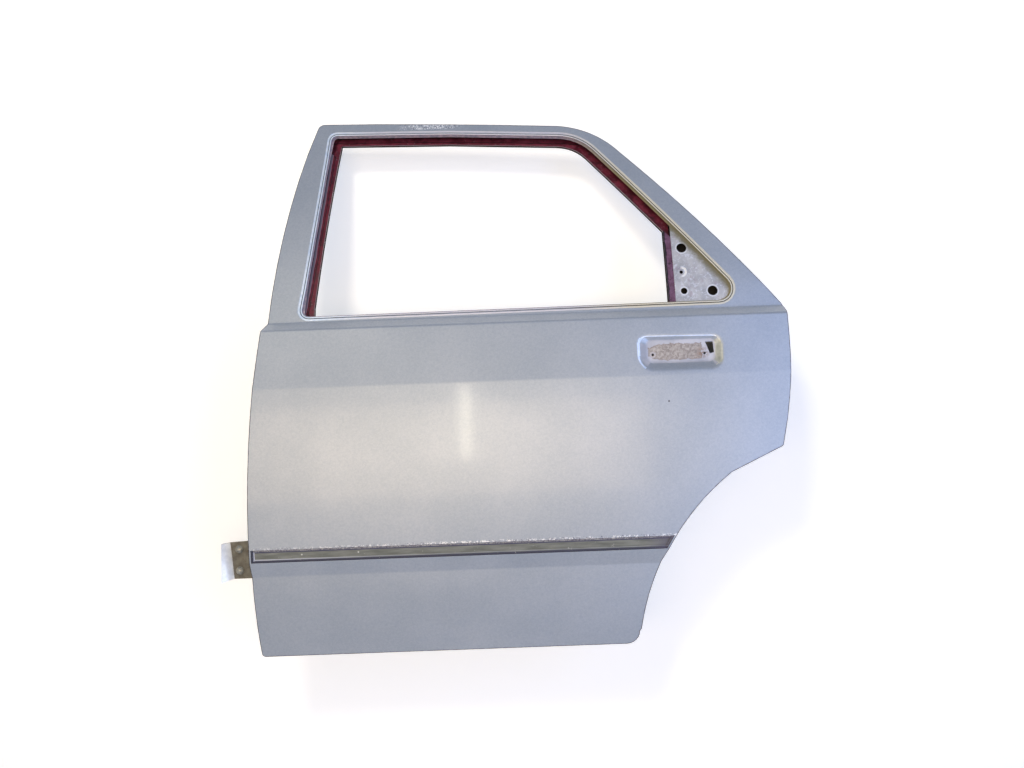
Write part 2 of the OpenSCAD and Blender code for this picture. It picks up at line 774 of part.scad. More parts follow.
module pillar_leaf() {
  color(zinc) difference() {
    union() {
      knuckle(hinge_h - knuckle_l / 2, hinge_h + knuckle_l / 2);
      translate([-20, leaf_face_y, hinge_h - knuckle_l / 2]) cube([20, leaf_t, knuckle_l]);
      across(leaf_face_y, leaf_face_y + leaf_t) polygon([
        [-15, hinge_h - leaf_h / 2], [-15, hinge_h + leaf_h / 2],
        [fold_top_x, hinge_h + leaf_h / 2 - 2], [fold_low_x, hinge_h - leaf_h / 2]
      ]);
      hull() {
        translate([fold_top_x, leaf_face_y, hinge_h + leaf_h / 2 - 3]) cube([0.1, leaf_t, 1]);
        translate([fold_low_x, leaf_face_y, hinge_h - leaf_h / 2]) cube([0.1, leaf_t, 1]);
        translate([-leaf_l, leaf_face_y - 10, hinge_h + leaf_h / 2 - 4]) cube([0.1, leaf_t, 1]);
        translate([-leaf_l, leaf_face_y - 15, hinge_h - leaf_h / 2 - 4]) cube([0.1, leaf_t, 1]);
      }
    }
    pin_bore();
    for (s = [-1, 1])
      drill(-pillar_bolt_x, leaf_face_y, hinge_h + s * pillar_bolt_pitch / 2, pillar_neck_d + 0.4, 30);
  }
}
module hinge_pin() {
  past_end = 3;
  color(zinc) translate([0, pin_y, hinge_h - leaf_h / 2 - past_end]) {
    cylinder(h = leaf_h + 2 * past_end, d = pin_d, $fn = 64);
    translate([0, 0, leaf_h + past_end]) domed_head(13, 4);
  }
}
module pillar_bolts() {
  thread_l = 16;
  color(zinc) for (s = [-1, 1])
    translate([-pillar_bolt_x, leaf_face_y, hinge_h + s * pillar_bolt_pitch / 2]) {
      rotate([-90, 0, 0]) cylinder(h = leaf_t, d = pillar_neck_d, $fn = 48);
      rotate([-90, 0, 0]) translate([0, 0, leaf_t]) cylinder(h = thread_l, d = 8, $fn = 48);
      rotate([90, 0, 0]) domed_head(17, 5.5);
    }
}

module in_place() {
  translate([pillar_bolt_x, -leaf_face_y - leaf_t, -hinge_h]) children();
}

in_place() outer_skin();
in_place() inner_panel();
in_place() window_frame_inner();
in_place() front_run_channel();
in_place() header_run_channel();
in_place() rear_run_channel();
in_place() division_channel();
in_place() corner_panel();
in_place() belt_rail_outer();
in_place() belt_rail_inner();
in_place() front_glass_guide();
in_place() rear_glass_guide();
in_place() hinge_plate_upper();
in_place() hinge_plate_lower();
in_place() latch_plate();
in_place() check_strap_plate();
in_place() handle_plate();
in_place() armrest_bracket();
in_place() damping_pad();
in_place() door_leaf();
in_place() door_leaf_bolts();
in_place() pillar_leaf();
in_place() hinge_pin();
in_place() pillar_bolts();
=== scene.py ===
import math

import bmesh
import bpy
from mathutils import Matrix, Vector


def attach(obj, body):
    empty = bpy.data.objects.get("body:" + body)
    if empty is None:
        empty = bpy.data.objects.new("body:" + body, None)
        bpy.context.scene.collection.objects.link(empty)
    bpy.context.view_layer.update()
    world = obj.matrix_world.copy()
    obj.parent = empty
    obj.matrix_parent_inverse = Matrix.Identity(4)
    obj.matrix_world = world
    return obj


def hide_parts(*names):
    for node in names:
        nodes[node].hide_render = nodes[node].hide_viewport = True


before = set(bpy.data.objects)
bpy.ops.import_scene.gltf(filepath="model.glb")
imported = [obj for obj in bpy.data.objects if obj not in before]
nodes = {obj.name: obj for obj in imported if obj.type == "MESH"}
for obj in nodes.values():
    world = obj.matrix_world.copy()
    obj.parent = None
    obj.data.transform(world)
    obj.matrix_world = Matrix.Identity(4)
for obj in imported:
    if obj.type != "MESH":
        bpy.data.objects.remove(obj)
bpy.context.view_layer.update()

# Door coordinates, in millimetres: from the front edge, from the most outboard line and from the sill
HINGE_X = 42
HINGE_Y = -79
HINGE_Z = -188
OUTER_Y = HINGE_Y / 1000


def at(x, y, z):
    """Door coordinates in millimetres as a place in the model, in metres."""
    return Vector((x + HINGE_X, y + HINGE_Y, z + HINGE_Z)) / 1000


def x_at(x):
    """A distance behind the front edge, as X in the model."""
    return at(x, 0, 0).x


def z_at(z):
    """A height above the sill, as Z in the model."""
    return at(0, 0, z).z


# Lines of the pressing


def round_corner(before, corner, after, radius, steps):
    """Points of a round corner, from the line that comes in to the line that goes out."""
    b = Vector(corner)
    u = (Vector(before) - b).normalized()
    v = (Vector(after) - b).normalized()
    half = math.acos(max(-1, min(1, u.dot(v)))) / 2
    centre = b + (u + v).normalized() * radius / math.sin(half)
    start = b + u * radius / math.tan(half) - centre
    end = b + v * radius / math.tan(half) - centre
    side = math.copysign(1, start.x * end.y - start.y * end.x)
    points = []
    for i in range(steps + 1):
        turn = side * (math.pi - 2 * half) * i / steps
        points.append((centre.x + start.x * math.cos(turn) - start.y * math.sin(turn),
                       centre.y + start.x * math.sin(turn) + start.y * math.cos(turn)))
    return points


def bow(a, b, bulge, steps):
    """Points of a shallow arc between a and b that bulges to the left of the way."""
    middle = (Vector(a) + Vector(b)) / 2
    half = (Vector(b) - Vector(a)) / 2
    left = Vector((-half.y, half.x)) / half.length
    out = []
    for i in range(1, steps):
        k = 2 * i / steps - 1
        out.append(tuple(middle + half * k + left * bulge * (1 - k * k)))
    return out


# Sizes in millimetres; a height is measured from the sill
DOOR_L = 1066
DOOR_H = 1098
SILL_L = 758
CHAMFER_H = 165
RUB_LOW_H = 195
RUB_HIGH_H = 220
WAIST_H = 370
WAIST_R = 3240
CREASE_H = 531
BELT_LOW_H = 645
BELT_TOP_H = 660
BELT_STEP = 18
FRAME_R = 1800
LEAN_LOW = math.radians(10)
FRONT_MID_H = 200
FRONT_LOW_R = 3000
FRONT_HIGH_R = 2450
FRONT_TOP_X = 43
ROOF_BEND_R = 190
ARCH_X = 1217
ARCH_Z = -29
ARCH_R = 460
# The handle's dish: the drawn depth of its floor, and how far inboard the floor stands
DISH_DEPTH = 12
DISH_FLOOR_Y = 20
# Middle of the two handle screws, and half their distance
SCREWS = (849.8, 570.7)
SCREW_HALF = 50.75


def crown(h):
    """The gently crowned middle of the side: how far inboard at a height, and the height."""
    return ((h - WAIST_H) ** 2 / (2 * WAIST_R), h)


CREASE = crown(CREASE_H)
RUB_LOW = crown(RUB_LOW_H)
CHAMFER = (RUB_LOW[0] + (RUB_LOW_H - CHAMFER_H) * math.tan(math.radians(25)), CHAMFER_H)
BELT_LOW = (CREASE[0] + (BELT_LOW_H - CREASE_H) * math.tan(math.radians(8)), BELT_LOW_H)
BELT_TOP = (BELT_LOW[0] + BELT_STEP, BELT_TOP_H)


def tuck(h):
    """The part under the chamfer, which tucks in towards the sill."""
    below = CHAMFER_H - h
    return (CHAMFER[0] + below * 0.07 + below**2 * 0.00046, h)


def frame_bend(angle):
    """The window frame, which bends inboard: its place where it leans by the angle."""
    return (BELT_TOP[0] + FRAME_R * (math.cos(LEAN_LOW) - math.cos(angle)),
            BELT_TOP_H + FRAME_R * (math.sin(angle) - math.sin(LEAN_LOW)))


def side_profile():
    """The side seen along the car, from the sill to the roof: how far inboard at each height."""
    roof_lean = math.asin(math.sin(LEAN_LOW) + (DOOR_H + 6 - BELT_TOP_H) / FRAME_R)
    line = [tuck(-6)] + [tuck(33 * i) for i in range(1, 5)]
    line += round_corner(tuck(135), CHAMFER, RUB_LOW, 14, 3)
    line += [RUB_LOW] + [crown(RUB_HIGH_H + 26 * i) for i in range(12)]
    line += round_corner(crown(491), CREASE, BELT_LOW, 50, 4)
    line += round_corner(CREASE, BELT_LOW, BELT_TOP, 9, 4)
    line += round_corner(BELT_LOW, BELT_TOP, frame_bend(LEAN_LOW + 0.035), 7, 4)
    line += [frame_bend(LEAN_LOW + (roof_lean - LEAN_LOW) * i / 16) for i in range(1, 17)]
    return line


def inboard(h, line):
    """How far inboard the skin lies at a height, in millimetres."""
    for (d0, h0), (d1, h1) in zip(line, line[1:]):
        if h0 <= h <= h1 and h1 > h0:
            return d0 + (d1 - d0) * (h - h0) / (h1 - h0)
    return line[0][0] if h < line[0][1] else line[-1][0]


def front_x(h):
    """The front edge at a height."""
    if h <= BELT_LOW_H:
        return FRONT_LOW_R - math.sqrt(FRONT_LOW_R**2 - (h - FRONT_MID_H) ** 2)
    if h < BELT_TOP_H:
        low_x = front_x(BELT_LOW_H)
        return low_x + (FRONT_TOP_X - low_x) * (h - BELT_LOW_H) / (BELT_TOP_H - BELT_LOW_H)
    lean = math.atan(0.1)
    up = h - BELT_TOP_H + FRONT_HIGH_R * math.sin(lean)
    return FRONT_TOP_X + FRONT_HIGH_R * math.cos(lean) - math.sqrt(FRONT_HIGH_R**2 - up**2)


def roof_h(x):
    """The roof edge at a distance behind the front edge."""
    return DOOR_H - (x - 150) * 0.03 - (x - 150) ** 2 / 24000


def rear_x(h):
    """The rear edge at a height."""
    return DOOR_L - max(600 - h, 0) ** 2 / 1900


def door_outline():
    """The door's edge, seen from outside."""
    arch_top = (ARCH_X - 275, ARCH_Z + math.sqrt(ARCH_R**2 - 275**2))
    arch_tip = (rear_x(386), 386)
    line = round_corner((300, 0), (front_x(0), 0), (front_x(200), 200), 8, 4)
    line += [(front_x(h), h) for h in range(60, 640, 60)]
    line += [(front_x(BELT_LOW_H), BELT_LOW_H), (FRONT_TOP_X, BELT_TOP_H)]
    line += [(front_x(h), h) for h in range(720, 1070, 60)]
    line += round_corner((front_x(1060), 1060), (front_x(DOOR_H) + 1, DOOR_H), (300, roof_h(300)), 14, 5)
    line += [(x, roof_h(x)) for x in (250, 380, 510)]
    line += round_corner((640, roof_h(640)), (713, 1065), (DOOR_L, BELT_TOP_H), ROOF_BEND_R, 14)
    line += bow((780, 989), (DOOR_L, BELT_TOP_H), 5, 7)
    line += round_corner((900, 848), (DOOR_L, BELT_TOP_H), (DOOR_L, 500), 34, 6)
    line += [(rear_x(h), h) for h in range(600, 400, -40)]
    line += round_corner((rear_x(440), 440), arch_tip, arch_top, 8, 4)
    for i in range(11):
        turn = math.radians(127 + 45.5 * i / 10)
        line.append((ARCH_X + ARCH_R * math.cos(turn), ARCH_Z + ARCH_R * math.sin(turn)))
    return line + round_corner((SILL_L - 1, 60), (SILL_L, 0), (300, 0), 26, 6)


def rebate_outline():
    """The outer edge of the stepped rebate round the window."""
    low, top, mid = (99, 663), (150, 1077), (408, 1070.5)
    roof, rear, sill = (686, 1054), (1012, 667), (500, 665)
    line = round_corner(sill, low, top, 22, 6) + bow(low, top, -4, 6)
    line += round_corner(low, top, mid, 20, 6) + [mid]
    return line + round_corner(mid, roof, rear, 110, 9) + round_corner(roof, rear, sill, 34, 8)


def rounded(corners, radii, steps):
    """A polygon with each corner rounded to its own radius."""
    line = []
    for i, corner in enumerate(corners):
        line += round_corner(corners[i - 1], corner, corners[(i + 1) % len(corners)], radii[i], steps)
    return line


# Hand work


def start_piece(name, loops):
    """Draws closed outlines in the side's own plane, and opens the piece for editing."""
    points, edges = [], []
    for loop in loops:
        first = len(points)
        points += [at(x, 0, z) for x, z in loop]
        edges += [(first + i, first + (i + 1) % len(loop)) for i in range(len(loop))]
    mesh = bpy.data.meshes.new(name)
    mesh.from_pydata(points, edges, [])
    piece = bpy.data.objects.new(name, mesh)
    bpy.context.scene.collection.objects.link(piece)
    select_only(piece)
    bpy.ops.object.mode_set(mode="EDIT")
    return piece


def select_only(piece):
    """Makes a piece the active and only selected one."""
    bpy.ops.object.select_all(action="DESELECT")
    bpy.context.view_layer.objects.active = piece
    piece.select_set(True)


def choose(piece, kind, wanted):
    """Selects, in edit mode, only the vertices, edges or faces for which wanted is true."""
    bpy.ops.mesh.select_mode(type=kind)
    bpy.ops.mesh.select_all(action="DESELECT")
    mesh = bmesh.from_edit_mesh(piece.data)
    parts = {"VERT": mesh.verts, "EDGE": mesh.edges, "FACE": mesh.faces}[kind]
    for part in parts:
        if wanted(part):
            part.select_set(True)
    mesh.select_flush_mode()
    bmesh.update_edit_mesh(piece.data)


def on_line(loop):
    """A test for edges that are a side of a drawn outline, at any depth."""
    places = [(round(at(x, 0, z).x, 5), round(at(x, 0, z).z, 5)) for x, z in loop]
    sides = {frozenset((places[i - 1], places[i])) for i in range(len(places))}
    return lambda edge: frozenset((round(v.co.x, 5), round(v.co.z, 5)) for v in edge.verts) in sides


def step_inward(steps):
    """Insets the chosen face again and again: width and depth of each step, in millimetres."""
    for width, depth in steps:
        bpy.ops.mesh.inset(thickness=width / 1000, depth=-depth / 1000, use_even_offset=True)


def face_outward(piece):
    """Makes the normals agree, and point out of the door on the large faces."""
    bpy.ops.mesh.select_all(action="SELECT")
    bpy.ops.mesh.normals_make_consistent(inside=False)
    mesh = bmesh.from_edit_mesh(piece.data)
    if max(mesh.faces, key=lambda face: face.calc_area()).normal.y > 0:
        bpy.ops.mesh.flip_normals()


def draw_blank(piece, edge, rebate, strip):
    """Fills the drawn outlines to one flat sheet, with a clean border inside its edge, so that the
    fold can be rounded, and with the dish left open."""
    on_edge = on_line(edge)
    choose(piece, "EDGE", on_edge)
    bpy.ops.mesh.edge_face_add()
    step_inward([(2.6, 0)])
    bpy.ops.mesh.delete(type="ONLY_FACE")
    choose(piece, "EDGE", lambda part: len(part.link_faces) < 2 and not on_edge(part))
    bpy.ops.mesh.fill(use_beauty=True)
    for loop in (rebate, strip):
        choose(piece, "EDGE", on_line(loop))
        bpy.ops.mesh.edge_face_add()
    face_outward(piece)


def press_window(piece, rebate):
    """Outer bead, groove, inner bead, wall and lip, then the opening."""
    choose(piece, "FACE", lambda face: len(face.verts) == len(rebate))
    step_inward([
        (0.8, 0.8), (0.9, -0.35), (1.4, 0), (0.9, 0.35),
        (0.6, 1.8), (0.4, 0), (0.6, -1.8),
        (0.7, -0.25), (1.2, 0), (0.7, 0.45),
        (0.6, 6.2), (1.0, 0.8),
    ])
    bpy.ops.mesh.delete(type="FACE")


def press_strip(piece):
    """The rub strip's recess and the seat inside it."""
    middle = z_at((RUB_LOW_H + RUB_HIGH_H) / 2)
    choose(piece, "FACE", lambda face: len(face.verts) == 4 and face.calc_area() > 0.015
           and abs(face.calc_center_median().z - middle) < 0.002)
    step_inward([(0.5, 3), (3.3, 0), (1.2, 2.5)])


def press_dish(piece, dish, dish_floor):
    """The handle's dish: its floor is drawn, joined to the rim, and both edges are rounded."""
    mesh = bmesh.from_edit_mesh(piece.data)
    corners = [mesh.verts.new(at(x, DISH_DEPTH, z)) for x, z in dish_floor]
    for i in range(len(corners)):
        mesh.edges.new((corners[i - 1], corners[i]))
    bmesh.update_edit_mesh(piece.data)
    on_rim = on_line(dish)
    on_floor = on_line(dish_floor)
    choose(piece, "EDGE", lambda part: on_rim(part) or on_floor(part))
    bpy.ops.mesh.bridge_edge_loops()
    choose(piece, "EDGE", on_floor)
    bpy.ops.mesh.edge_face_add()
    bpy.ops.mesh.select_all(action="SELECT")
    bpy.ops.mesh.normals_make_consistent(inside=False)
    choose(piece, "EDGE", on_rim)
    bpy.ops.mesh.bevel(offset=0.0045, segments=5, affect="EDGES")
    choose(piece, "EDGE", on_floor)
    bpy.ops.mesh.bevel(offset=0.003, segments=3, affect="EDGES")


def fold_edge(piece, edge):
    """A wall back, a flange that lies behind the inner pressing, and a round hem between the skin
    and the wall, whose faces get the second material."""
    on_edge = on_line(edge)
    choose(piece, "EDGE", on_edge)
    bpy.ops.mesh.extrude_region_move(TRANSFORM_OT_translate={"value": (0, 0.0036, 0)})
    bpy.ops.mesh.edge_face_add()
    step_inward([(7.5, 0)])
    bpy.ops.mesh.delete(type="FACE")
    face_outward(piece)
    choose(piece, "EDGE", on_edge)
    bpy.ops.mesh.bevel(offset=0.0017, segments=4, affect="EDGES")
    piece.active_material_index = 1
    bpy.ops.object.material_slot_assign()


def push_to_profile(piece, line):
    """Moves every point inboard by the side's profile. The dish's floor stays upright."""
    for vertex in piece.data.vertices:
        height = vertex.co.z * 1000 - HINGE_Z
        pushed = vertex.co.y * 1000 - HINGE_Y
        behind = vertex.co.x * 1000 - HINGE_X
        skin_depth = inboard(height, line)
        in_dish = 760 < behind < 940 and 535 < height < 615 and vertex.co.y > OUTER_Y
        if in_dish and pushed < DISH_DEPTH + 0.1:
            share = min(1, pushed / DISH_DEPTH)
            vertex.co.y = at(0, skin_depth * (1 - share) + DISH_FLOOR_Y * share, 0).y
        else:
            vertex.co.y = at(0, skin_depth + pushed, 0).y


def folded_skin(paint, edge_paint):
    """The outer skin as one pressing: the blank with its stepped rebate, strip recess and handle
    dish, folded round the edge, then curved to the side's profile and given its thickness."""
    edge = door_outline()
    rebate = rebate_outline()
    strip = [(4.5, RUB_LOW_H), (4.5, RUB_HIGH_H), (826, RUB_HIGH_H), (811, RUB_LOW_H)]
    dish = rounded([(771, 609), (933, 606), (932, 541.5), (771, 542)], (13, 18, 22, 27), 6)
    dish_floor = rounded([(788, 598), (921, 598), (921, 556), (788, 556)], (8, 12, 14, 14), 6)
    piece = start_piece("outer_skin_pressing", [edge, rebate, strip, dish])
    piece.data.materials.append(paint)
    piece.data.materials.append(edge_paint)
    draw_blank(piece, edge, rebate, strip)
    press_window(piece, rebate)
    press_strip(piece)
    press_dish(piece, dish, dish_floor)
    fold_edge(piece, edge)
    # A cut at every height of the profile, so that the pressing can curve
    line = side_profile()
    for _, height in line[1:-1]:
        bpy.ops.mesh.select_all(action="SELECT")
        bpy.ops.mesh.bisect(plane_co=at(0, 0, height), plane_no=(0, 0, 1))
    bpy.ops.object.mode_set(mode="OBJECT")
    push_to_profile(piece, line)
    round_edges(piece)
    sheet = piece.modifiers.new("sheet", "SOLIDIFY")
    sheet.thickness = 0.0012
    sheet.offset = -1
    bpy.ops.object.modifier_apply(modifier=sheet.name)
    return piece


def round_edges(piece):
    """Rounds every sharp edge a little, as a press and paint do."""
    rounding = piece.modifiers.new("rounded edges", "BEVEL")
    rounding.width = 0.00045
    rounding.segments = 2
    rounding.limit_method = "ANGLE"
    rounding.angle_limit = math.radians(40)
    bpy.ops.object.modifier_apply(modifier=rounding.name)


def cut_out(piece, cutter):
    """Cuts one closed shape out of a piece, and throws the cutter away."""
    select_only(cutter)
    bpy.ops.object.transform_apply(location=True, rotation=True, scale=True)
    select_only(piece)
    cut = piece.modifiers.new("cut", "BOOLEAN")
    cut.operation = "DIFFERENCE"
    cut.solver = "EXACT"
    cut.object = cutter
    bpy.ops.object.modifier_apply(modifier=cut.name)
    bpy.data.objects.remove(cutter)


def smooth(piece):
    """Smooth shading up to 35 degrees, led by the large faces."""
    select_only(piece)
    bpy.ops.object.shade_smooth_by_angle(angle=math.radians(35))
    even = piece.modifiers.new("even light", "WEIGHTED_NORMAL")
    even.keep_sharp = True
    bpy.ops.object.modifier_apply(modifier=even.name)


# Materials


def paint_hex(code):
    """An sRGB colour written as six hex digits, as linear red, green, blue and alpha."""
    parts = [int(code[i : i + 2], 16) / 255 for i in (0, 2, 4)]
    linear = [c / 12.92 if c <= 0.04045 else ((c + 0.055) / 1.055) ** 2.4 for c in parts]
    return (*linear, 1)


def add(material, kind, sockets, **settings):
    """Adds one shader node, with its settings, and its sockets set to values or linked."""
    node = material.node_tree.nodes.new("ShaderNode" + kind)
    for name, value in settings.items():
        setattr(node, name, value)
    for name, value in sockets.items():
        if isinstance(value, bpy.types.NodeSocket):
            material.node_tree.links.new(value, node.inputs[name])
        else:
            node.inputs[name].default_value = value
    return node


def new_material(name):
    """An empty node material with its output, and the place of the surface in metres."""
    material = bpy.data.materials.new(name)
    material.use_nodes = True
    material.node_tree.nodes.clear()
    place = add(material, "TexCoord", {}).outputs["Object"]
    return material, place


def surface(material, shader):
    """Connects the finished shader to the material's output."""
    add(material, "OutputMaterial", {"Surface": shader.outputs[0]})


def coated(material, tone, roughness, metallic=0.0, bumps=None, coat=None):
    """Finishes a material: its colour, roughness and metal, its bumps as a pattern, their strength
    and their depth in millimetres, and its clear coat as weight and roughness."""
    sockets = {"Base Color": tone, "Roughness": roughness, "Metallic": metallic}
    if bumps:
        pattern, strength, depth_mm = bumps
        bump = add(material, "Bump", {"Height": pattern, "Strength": strength, "Distance": depth_mm / 1000})
        sockets["Normal"] = bump.outputs[0]
    if coat:
        sockets["Coat Weight"], sockets["Coat Roughness"] = coat
    surface(material, add(material, "BsdfPrincipled", sockets))
    return material


def noise(material, place, size_mm, detail=3.0, distortion=0.0):
    """Cloudy pattern whose lumps are size_mm across."""
    sockets = {"Vector": place, "Scale": 1000 / size_mm, "Detail": detail, "Distortion": distortion}
    return add(material, "TexNoise", sockets).outputs["Fac"]


def spread(material, value, low, high, to_low=0.0, to_high=1.0):
    """Stretches a value between low and high over a new range, and clamps it."""
    sockets = {"Value": value, "From Min": low, "From Max": high, "To Min": to_low, "To Max": to_high}
    return add(material, "MapRange", sockets).outputs[0]


def mixed(material, factor, a, b):
    """Mixes two colours."""
    return add(material, "Mix", {0: factor, 6: a, 7: b}, data_type="RGBA").outputs[2]


def shades(material, pattern, dark, light, low=0.35, high=0.65):
    """A pattern in two paint colours, given as hex codes."""
    return mixed(material, spread(material, pattern, low, high), paint_hex(dark), paint_hex(light))


def over(material, tone, cover, code):
    """Another colour over a tone, as far as cover says."""
    return mixed(material, cover, tone, paint_hex(code))


def maths(material, operation, a, b=0.0):
    """One sum on two values."""
    return add(material, "Math", {0: a, 1: b}, operation=operation).outputs[0]


def times(material, a, b):
    """One value times another."""
    return maths(material, "MULTIPLY", a, b)


def axes(material, place):
    """The three coordinates of a place, as separate values."""
    return add(material, "SeparateXYZ", {"Vector": place}).outputs


def band(material, value, middle, half_width, soft):
    """One near the middle, falling to nothing half_width to each side."""
    distance = maths(material, "ABSOLUTE", maths(material, "SUBTRACT", value, middle))
    return spread(material, distance, half_width - soft, half_width + soft, 1.0, 0.0)


def ring(material, x, z, middle, radius_mm, half_mm):
    """One on a ring round a point of the side, or on a spot when the radius is nothing."""
    along = maths(material, "SUBTRACT", x, x_at(middle[0]))
    up = maths(material, "SUBTRACT", z, z_at(middle[1]))
    square = maths(material, "ADD", times(material, along, along), times(material, up, up))
    away = maths(material, "SQRT", square)
    return band(material, away, radius_mm / 1000, half_mm / 1000, 0.0006)


def silver_paint():
    """Worn silver metallic respray on pressed steel: fine aluminium flake under a thin dull clear
    coat, faintly clouded where it was sprayed by hand, and chipped along the handled edges."""
    m, place = new_material("silver_metallic_respray")
    x, _, z = axes(m, place)
    cloud = noise(m, place, 120, 2)
    tone = shades(m, cloud, "A2A9B0", "AAB0B6")
    # The flake is a few hundredths of a millimetre; it is drawn 2 mm coarse so that it shows
    flake = add(m, "TexVoronoi", {"Vector": place, "Scale": 1000 / 2.0}).outputs["Color"]
    flake_light = add(m, "SeparateColor", {"Color": flake}).outputs[0]
    tone = over(m, tone, times(m, flake_light, 0.12), "E4E6E4")
    speck = spread(m, noise(m, place, 5, 4), 0.45, 0.7, 0.0, 0.22)
    tone = over(m, tone, speck, "8E98A8")
    strip_top = band(m, z, z_at(221), 0.0028, 0.0015)
    strip_top = times(m, strip_top, spread(m, x, x_at(100), x_at(400), 0.5, 1))
    roof = times(m, band(m, x, x_at(367), 0.055, 0.02), band(m, z, z_at(1082.5), 0.006, 0.002))
    worn = maths(m, "MAXIMUM", strip_top, roof)
    grey_chip = times(m, worn, spread(m, noise(m, place, 4, 5, 1.0), 0.56, 0.6))
    tone = over(m, tone, grey_chip, "6E6B7C")
    torn = noise(m, place, 6, 5, 1.5)
    tone = over(m, tone, times(m, strip_top, spread(m, torn, 0.53, 0.57)), "EDEDEA")
    tone = over(m, tone, times(m, roof, spread(m, torn, 0.5, 0.53)), "F4F4F2")
    tone = over(m, tone, ring(m, x, z, (824, 480), 0, 1.6), "3B3436")
    return coated(m, tone, 0.42, 0.45, bumps=(noise(m, place, 3, 2), 0.04, 0.4), coat=(0.3, 0.09))


def corner_paint():
    """The respray on the corner panel: thick and pale, with bright dry rings round its holes, a painted
    highlight on the rear side of the dimple's rim, and a khaki band along the rebate, partly grime that the
    window seal left and partly painted shade where the panel lies deeper."""
    m, place = new_material("pale_silver_respray")
    x, _, z = axes(m, place)
    tone = shades(m, noise(m, place, 22, 4), "ADADAE", "C9C7C4")
    scuff = spread(m, noise(m, place, 6, 5, 1.0), 0.54, 0.64, 0.0, 0.6)
    tone = over(m, tone, scuff, "DFE0E4")
    rub = spread(m, noise(m, place, 9, 5, 1.5), 0.58, 0.64, 0.0, 0.4)
    tone = over(m, tone, rub, "A78F96")
    for middle, radius in (((875, 787), 11), ((873, 697.6), 7.6), ((930, 696.5), 11)):
        tone = over(m, tone, ring(m, x, z, middle, radius, 1.6), "DCDCDC")
    # Painted highlight: a bright crescent on the rear side of the dimple's rim
    rim = times(m, ring(m, x, z, (871, 737.3), 9, 2), spread(m, x, x_at(868), x_at(874)))
    tone = over(m, tone, rim, "F4F4F2")
    # The rebate runs down here at 50 degrees
    across = maths(m, "ADD", times(m, x, 0.765), times(m, z, 0.644))
    edge = x_at(1012) * 0.765 + z_at(667) * 0.644 - 0.010
    ragged = spread(m, noise(m, place, 12, 4, 1.0), 0.2, 0.8, -0.004, 0.004)
    # Painted shade and seal grime: a khaki band beside the rebate, where the panel lies deeper
    near = spread(m, maths(m, "ADD", across, ragged), edge - 0.016, edge - 0.004)
    tone = over(m, tone, times(m, near, 0.8), "77704F")
    return coated(m, tone, 0.42, 0.3, bumps=(noise(m, place, 5, 4), 0.25, 0.5))


def strip_seat():
    """Bare seat of the rub strip: old adhesive and road film over primer. The seat is a flat olive grey and
    its upper side torn and grey; a dark line under its upper edge, the ledge below it and its front end are
    painted shade, and the step between seat and ledge is a painted highlight."""
    m, place = new_material("adhesive_residue_on_primer")
    x, _, z = axes(m, place)
    smear_place = add(m, "Mapping", {"Vector": place, "Scale": (0.15, 1, 1)}).outputs[0]
    smear = noise(m, smear_place, 6, 4)
    tone = shades(m, smear, "63655B", "7F8076")
    rough_top = spread(m, noise(m, place, 5, 5, 1.5), 0.44, 0.6)
    torn = mixed(m, rough_top, paint_hex("6F6C74"), paint_hex("A5A39F"))
    tone = mixed(m, spread(m, z, z_at(215.2), z_at(215.8)), tone, torn)
    # Painted shade: a dark line under the seat's upper edge, then painted shadow on the ledge below the
    # seat and at its front end
    tone = over(m, tone, band(m, z, z_at(214.6), 0.0011, 0.0005), "4C4C60")
    dark = maths(m, "MAXIMUM", spread(m, z, z_at(199.2), z_at(198.8)),
                 spread(m, x, x_at(8.8), x_at(8.2)))
    tone = over(m, tone, dark, "40414F")
    # Painted highlight: a bright line on the step between the seat and the lower ledge, and on the front
    # step
    step = times(m, band(m, z, z_at(199.9), 0.0009, 0.0003),
                 spread(m, x, x_at(330), x_at(10), 0.35, 1))
    front_step_highlight = times(m, band(m, x, x_at(9.3), 0.001, 0.0003),
                       band(m, z, z_at(207), 0.0085, 0.0004))
    step = times(m, maths(m, "MAXIMUM", step, front_step_highlight), spread(m, x, x_at(8.2), x_at(8.8)))
    tone = over(m, tone, step, "BDBEC4")
    fleck = spread(m, noise(m, place, 5, 5, 1.2), 0.69, 0.72, 0.0, 0.8)
    tone = over(m, tone, fleck, "B9B7AC")
    for spot in ((102, 208), (212, 209)):
        tone = over(m, tone, ring(m, x, z, spot, 0, 1.4), "D2D0C2")
    end = spread(m, x, x_at(770), x_at(810), 0, 0.6)
    tone = over(m, tone, end, "5C5668")
    return coated(m, tone, 0.6, bumps=(noise(m, place, 3, 4), 0.35, 0.4))


